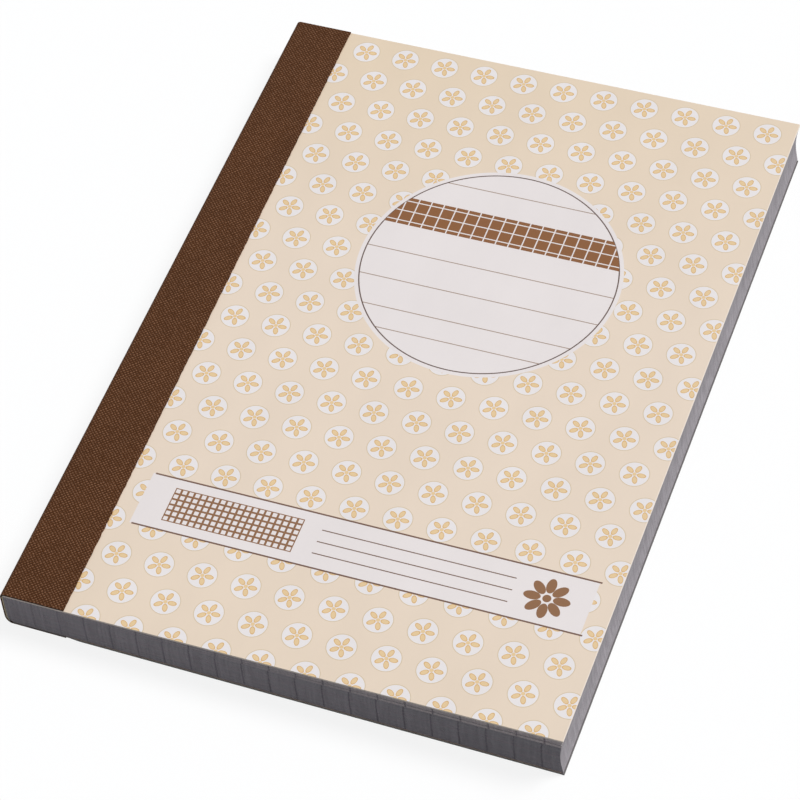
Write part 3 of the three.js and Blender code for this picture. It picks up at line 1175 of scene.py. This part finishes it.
dice = tree.nodes.new("ShaderNodeTexWhiteNoise")
dice.noise_dimensions = "2D"
feed(tree, dice.inputs["Vector"], crossing.outputs[0])
connect(
    tree,
    given,
    Height=height,
    Thread=mix(tree, on_top, *tones, kind="FLOAT"),
    Crossing=dice.outputs["Value"],
    Across=on_top,
    Hollow=spread(tree, height, *HOLLOW_RANGE),
)
print("group Weave:", len(tree.nodes), "nodes")

# %% [markdown]
# The cloth itself is dark brown linen. The threads across the strip are a warmer brown than those along
# it, so the weave shows as rows of lighter dots, some stronger than others. The hollows between threads
# are painted nearly black as painted shade, and a starch filler leaves the threads a little shiny.

# %% Book cloth
CLOTH_DEEP = colour(76, 40, 8)
CLOTH_WARM = colour(122, 84, 59)
CLOTH_HOLLOW_SHADE = colour(38, 18, 2)
THREAD_SHADES = (0.8, 1.05)
CROSSING_SHADES = (0.5, 1.4)

tree, shader, place, fibres = felted("book_cloth", tooth=5.0)
weave = use(tree, "Weave", Place=place, Pitch=THREAD)
warmth = both(
    tree,
    weave["Across"],
    spread(tree, weave["Thread"], 0.0, 1.0, *THREAD_SHADES),
    spread(tree, weave["Crossing"], 0.0, 1.0, *CROSSING_SHADES),
)
# Painted shade: the hollows between threads go nearly black.
surface = laid_over(tree, CLOTH_DEEP, (warmth, CLOTH_WARM), (weave["Hollow"], CLOTH_HOLLOW_SHADE))
connect(
    tree,
    shader.inputs,
    Base_Color=clouded(tree, fibres["Cloud"], surface, amount=0.1),
    Roughness=0.8,
    Specular_IOR_Level=0.15,
    Normal=bump(tree, weave["Height"], relief=0.05),
)
print("book cloth:", len(tree.nodes), "nodes")

# %% [markdown]
# The pages of the sets are ruled in 5 mm squares on the front. The upright rules run off the page at
# both ends, while the level ones stop short of the fore-edge, and nothing is printed on the margin
# that stays bound.

# %% Page faces
RULING = {"Pitch": 5.0, "Start_X": 1.0, "Start_Y": 4.0}
RULE_WIDTH = 0.14
RULE_STOP = BOOK_WIDTH - 4
RULE_START = HINGE + 1
LINE_GREY = colour(168, 160, 186)


def page_face(tree, place, page):
    x = split(tree, place)["X"]
    ruling = use(tree, "Squares", Place=place, Line=RULE_WIDTH, **RULING)
    before_stop = calc(tree, "LESS_THAN", x, RULE_STOP)
    past_margin = calc(tree, "GREATER_THAN", x, RULE_START)
    lines = either(tree, ruling["Upright"], both(tree, ruling["Level"], before_stop))
    return mix(tree, both(tree, lines, past_margin, attribute(tree, "outer")), page, LINE_GREY)


print("pages ruled every", RULING["Pitch"], "mm")

# %% [markdown]
# Seen from the side, only the cut edges of the sheets show. Their colour is painted darker than a page,
# as painted shade for the light that is lost between the sheets, and darker still towards the fore-edge,
# where the block is airy. Each line of the ruling that runs off the page leaves a dark speck on the edge,
# and the specks of many sheets line up into the marks on the tail. The topmost sheets are painted lighter
# towards the fore-edge, as painted light, and the sheets just under those that stick to the cover get a
# painted shadow for the slit there. The guillotine that trimmed the book went through all the sheets at
# once, so the faint streaks of its blade run straight across them.

# %% Sheet edges
# Of the next three colours, the first is painted light on the top sheets, the second is painted shade,
# and the third serves both for the ink of the ruling and for a painted shadow.
EDGE_LIT_TOP = colour(198, 190, 188)
EDGE_SHADE = colour(129, 126, 131)
EDGE_MARK_AND_SHADE = colour(84, 78, 84)
MARK_WIDTH = 0.36
MARK_SHADES = (0.45, 0.85)
MARKS_FULL = 60.0
MARKS_AT_SPINE = 0.4
AIRY_SHADE = (50.0, 104.0)
LIFTED = (35.0, 80.0)
DEEPEST_SHADE = 0.8
SLIT_SHADE_SHEETS = 1.2
SHEET_SHADE = 0.06
BLADE_LIE = (2.4, 2.4, 0.12)
BLADE_SHADE = 0.24


def sheet_edge(tree, place, edge):
    x = split(tree, place)["X"]
    sheet = attribute(tree, "sheet")
    dice = chance(tree, sheet)
    marks = use(tree, "Squares", Place=place, Line=MARK_WIDTH, **RULING)
    strength = spread(tree, dice, 0.0, 1.0, *MARK_SHADES)
    strength = both(tree, strength, spread(tree, x, 0.0, MARKS_FULL, to_low=MARKS_AT_SPINE))
    # Painted shade: the edge darkens towards the fore-edge, except on its rim.
    airy_shade = both(tree, spread(tree, x, *AIRY_SHADE, to_high=DEEPEST_SHADE), opposite(tree, attribute(tree, "rim")))
    # Painted light: the topmost sheets are lighter towards the fore-edge.
    lit_top = both(tree, calc(tree, "LESS_THAN", sheet, TOP_SHEETS - 0.5), spread(tree, x, *LIFTED))
    # Painted shadow: the sheets just under those that stick to the cover darken towards the fore-edge,
    # for the slit there.
    slit_shade = stroke(tree, sheet, STUCK_SHEETS + 0.5, SLIT_SHADE_SHEETS)
    slit_shade = both(tree, slit_shade, spread(tree, x, *LIFTED, to_high=DEEPEST_SHADE))
    side = laid_over(
        tree,
        edge,
        (airy_shade, EDGE_SHADE),
        (lit_top, EDGE_LIT_TOP),
        (slit_shade, EDGE_MARK_AND_SHADE),
        (both(tree, marks["Upright"], strength), EDGE_MARK_AND_SHADE),
    )
    blade = noise(tree, vector(tree, "MULTIPLY", place, BLADE_LIE), scale=1.0, detail=3.0)
    return clouded(tree, blade, clouded(tree, dice, side, SHEET_SHADE), BLADE_SHADE)


print("marks on the edge are", MARK_WIDTH, "mm wide")

# %% [markdown]
# The paper itself is the same for both kinds of sheet, white originals and pale pink copies: a face
# where the sheet looks up or down, and an edge where it is cut.

# %% Paper of the sets
def paper(name, page, edge):
    tree, shader, place, fibres = felted(name, tooth=6.0)
    # Painted shade: a narrow rim of the page face along the fore-edge takes the darker edge colour too.
    edge_and_rim_shade = either(tree, attribute(tree, "cut"), attribute(tree, "rim"))
    surface = mix(tree, edge_and_rim_shade, page_face(tree, place, page), sheet_edge(tree, place, edge))
    connect(
        tree,
        shader.inputs,
        Base_Color=clouded(tree, fibres["Cloud"], surface, amount=0.03),
        Roughness=0.8,
        Normal=bump(tree, fibres["Height"], relief=0.004),
    )
    print(name, len(tree.nodes), "nodes")


# The edge colours are painted darker than the pages, as painted shade between the sheets.
paper("original_paper", page=colour(233, 231, 230), edge=colour(158, 155, 158))
paper("copy_paper", page=colour(239, 210, 214), edge=colour(152, 145, 151))

# %% [markdown]
# The shield is grey-brown board with long dark and light fibres pressed into it.

# %% Shield board
BOARD = colour(183, 165, 140)
BOARD_STRAND = colour(143, 122, 98)
STRAND_LIE = (0.4, 2.2, 1.0)
STRAND_RANGE = (0.56, 0.66)

tree, shader, place, fibres = felted("shield_board", tooth=3.0)
stretched = vector(tree, "MULTIPLY", place, STRAND_LIE)
strands = spread(tree, noise(tree, stretched, scale=1.2, detail=5.0, roughness=0.7), *STRAND_RANGE)
surface = mix(tree, strands, BOARD, BOARD_STRAND)
connect(
    tree,
    shader.inputs,
    Base_Color=clouded(tree, fibres["Cloud"], surface, amount=0.06),
    Roughness=0.85,
    Normal=bump(tree, fibres["Height"], relief=0.01),
)
print("shield board:", len(tree.nodes), "nodes")

# %% [markdown]
# The glue and the two staples are solids of the frame that keep their shape, so they only get a
# finish. Dried glue is amber and glossy with brush marks along the spine. Staple wire is galvanised
# and drawn, which leaves fine lines along it.

# %% Glue and staple wire
GLUE_AMBER = colour(205, 188, 150)
WIRE_GREY = colour(196, 198, 200)
BRUSH_LIE = (2500.0, 120.0, 2500.0)
DRAWN_LIE = (30000.0, 400.0, 30000.0)


def streaked(name, base, lie, shade, roughness, relief, metallic):
    """A material with streaks along the spine, from a noise that is squeezed in the other ways."""
    tree, shader = new_material(name)
    place = tree.nodes.new("ShaderNodeTexCoord").outputs["Object"]
    streaks = noise(tree, vector(tree, "MULTIPLY", place, lie), scale=1.0, detail=3.0)
    connect(
        tree,
        shader.inputs,
        Base_Color=clouded(tree, streaks, base, shade),
        Metallic=metallic,
        Roughness=varied(tree, streaks, *roughness),
        Normal=bump(tree, streaks, relief),
    )


def wear(piece, finish):
    piece.data.materials.clear()
    piece.data.materials.append(finishes[finish])


streaked("glue", GLUE_AMBER, BRUSH_LIE, 0.1, (0.3, 0.45), relief=0.03, metallic=0.0)
streaked("staple_wire", WIRE_GREY, DRAWN_LIE, 0.08, (0.25, 0.45), relief=0.005, metallic=1.0)
wear(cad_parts["spine_glue"], "glue")
wear(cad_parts["staple_upper"], "staple_wire")
wear(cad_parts["staple_lower"], "staple_wire")
print("kept solids finished: spine_glue, staple_upper, staple_lower")

# %% [markdown]
# Now each piece gets its finish, and the solids of the frame that it stands for are hidden. The shield is
# stiff and rides on one body. Card and cloth bend at the hinge line; here only their transforms are baked
# into their points.


def dress(piece, finish, *nodes):
    wear(piece, finish)
    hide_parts(*nodes)


def bend(piece):
    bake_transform(piece)


dress(card_margin, "printed_card", "front_cover_margin")
dress(card_board, "printed_card", "front_cover")
dress(card_back, "plain_card", "back_cover", "back_cover_margin")
dress(cloth_wrap, "book_cloth", "spine_cloth")
dress(cloth_front, "book_cloth", "front_cloth_flap")
dress(cloth_back, "book_cloth", "back_cloth_flap")
dress(shield, "shield_board", "writing_shield")
bend(card_margin)
bend(cloth_wrap)
bend(card_board)
bend(cloth_front)
bend(card_back)
bend(cloth_back)
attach(shield, "writing_shield")

# %% [markdown]
# The sheets bend at the hinge line too; here each piece only has its transform baked into its points. The
# first five sets stay leaf by leaf, and the first original, parted from its stub, rides on a body of its
# own, so that it tears out whole, while the stub rides on the spine. The others come in packs of five
# sets, so the ten sheets of a pack are joined into one piece.

# %% Finish the sheets and join the packs
kinds = ["copy" if index % 2 else "original" for index in range(SHEETS)]


def bend_round(piece):
    bend(piece)


dress(stub, "original_paper", "original_01_stub")
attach(stub, "bound_spine")
for index, sheet in enumerate(sheets[:SHEETS_IN_PACK]):
    node = f"{kinds[index]}_{index // 2 + 1:02d}"
    sheet.name = f"leaf_{node}"
    if index == 0:
        dress(sheet, "original_paper", node)
        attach(sheet, node)
    else:
        dress(sheet, f"{kinds[index]}_paper", node, f"{node}_stub")
        bend_round(sheet)

for first in range(SHEETS_IN_PACK, SHEETS, SHEETS_IN_PACK):
    last = first + SHEETS_IN_PACK
    node = f"sets_{first // 2 + 1:02d}_{last // 2:02d}"
    pack = sheets[first]
    take_up(pack)
    for index in range(first, last):
        wear(sheets[index], f"{kinds[index]}_paper")
        sheets[index].select_set(True)
    bpy.ops.object.join()
    pack.name = f"leaves_{node}"
    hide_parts(node, f"{node}_margin")
    bend_round(pack)

# %% [markdown]
# The floor is a pale sheet of frosted glass over a white ground. The camera sees the white through
# it, with a thin veil on top that takes the book's soft shadow. A cover that is opened downwards,
# past the level of the floor, still shows through. To the light that bounces up on the book it is a
# plain mid grey, which keeps the shaded tail edge as deep as under a studio light.

# %% Floor
FLOOR_SIZE = 6.0
FLOOR_DROP = 0.0001
VEIL = 0.14
VEIL_COLOUR = (0.98, 0.98, 0.98, 1)
BOUNCE_GREY = colour(138, 136, 138)


def seen(tree):
    """The rays of light, and a mask of those by which the camera sees, also in metal and glass."""
    rays = tree.nodes.new("ShaderNodeLightPath").outputs
    return rays, either(tree, rays["Is Camera Ray"], rays["Is Glossy Ray"], rays["Is Transmission Ray"])


bpy.ops.object.select_all(action="DESELECT")
bpy.ops.mesh.primitive_plane_add(size=FLOOR_SIZE, location=(0, 0, -FLOOR_DROP))
floor = bpy.context.object
floor.name = "floor"
tree, shader = new_material("floor")
rays, viewed = seen(tree)
grain = noise(tree, tree.nodes.new("ShaderNodeTexCoord").outputs["Object"], scale=40.0)
bounced = clouded(tree, grain, BOUNCE_GREY, amount=0.02)
through = calc(tree, "MULTIPLY", either(tree, viewed, rays["Is Shadow Ray"]), 1 - VEIL)
connect(
    tree,
    shader.inputs,
    Base_Color=mix(tree, viewed, bounced, VEIL_COLOUR),
    Roughness=1.0,
    Specular_IOR_Level=0.0,
    Alpha=opposite(tree, through),
)
wear(floor, "floor")
print("floor", FLOOR_SIZE, "m wide, veil", VEIL)

# %% [markdown]
# The light is a studio's: one large soft lamp high on the right and a little behind the book, and a
# weak even fill from all round above the floor. The key makes the fore-edge lighter than the tail
# edge, as a reader sees it by a window. Their sum on the cover is about one, so colours come out as
# they are written.

# %% Light
KEY_DIRECTION = Vector((0.45, 0.35, 0.8)).normalized()
KEY_STRENGTH = 0.92 * math.pi
KEY_SPREAD = math.radians(25)
FILL = 0.25
FILL_COLOUR = (0.94 * FILL, FILL, 1.08 * FILL, 1)
BLACK = (0, 0, 0, 1)
WHITE = (1, 1, 1, 1)
key_data = bpy.data.lights.new("key", "SUN")
key_data.energy = KEY_STRENGTH
key_data.angle = KEY_SPREAD
key = bpy.data.objects.new("key", key_data)
key.rotation_mode = "QUATERNION"
key.rotation_quaternion = KEY_DIRECTION.to_track_quat("Z", "Y")
bpy.context.scene.collection.objects.link(key)

world = bpy.data.worlds.new("studio")
bpy.context.scene.world = world
world.use_nodes = True
tree = world.node_tree
rays, viewed = seen(tree)
direction = tree.nodes.new("ShaderNodeTexCoord").outputs["Generated"]
above = calc(tree, "GREATER_THAN", split(tree, direction)["Z"], 0.0)
shade = laid_over(tree, BLACK, (above, FILL_COLOUR), (viewed, WHITE))
feed(tree, tree.nodes["Background"].inputs["Color"], shade)
print("key and fill set")
